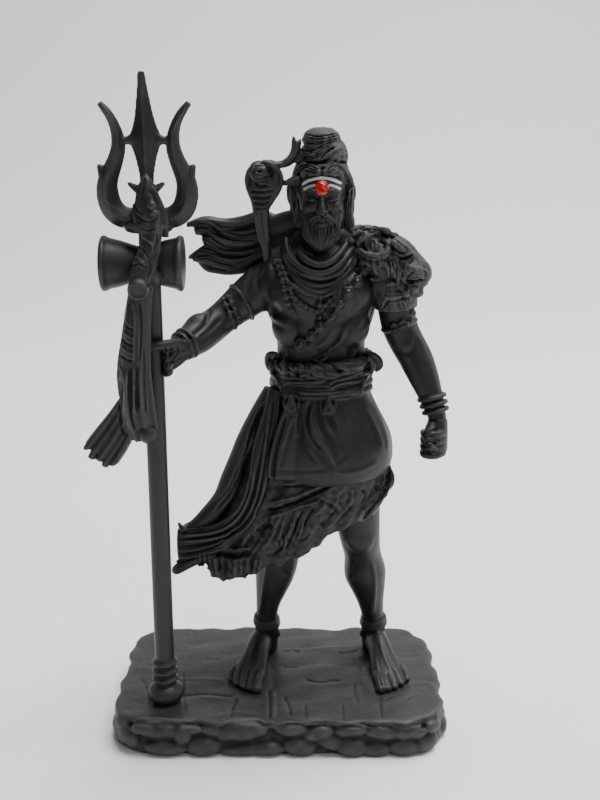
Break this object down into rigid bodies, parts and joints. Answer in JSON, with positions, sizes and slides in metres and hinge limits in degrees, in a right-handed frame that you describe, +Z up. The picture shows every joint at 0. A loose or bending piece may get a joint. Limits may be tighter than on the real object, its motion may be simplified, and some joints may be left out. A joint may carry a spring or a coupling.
{
  "type": "deity statuette",
  "caption": "Small moulded resin statuette of a standing deity with a trident, drum, cobra and tiger skin, on a cobbled slab.",
  "frame": {"origin": "middle of the slab's underside", "axes": "+Z up, the deity faces -Y, the trident stands on the -X side"},
  "size_m": [0.1052, 0.0617, 0.19],
  "materials": {
    "slab_resin": "moulded black resin, dull, dusty in the hollows",
    "figure_resin": "moulded black resin, satin on the raised carving",
    "trident_resin": "moulded black resin, smooth and satin",
    "white_paint": "brushed white paint",
    "red_paint": "raised drop of glossy red paint"
  },
  "bodies": {
    "root": {"slab": "slab_resin", "figure": "figure_resin", "trident": "trident_resin"}
  },
  "joints": []
}
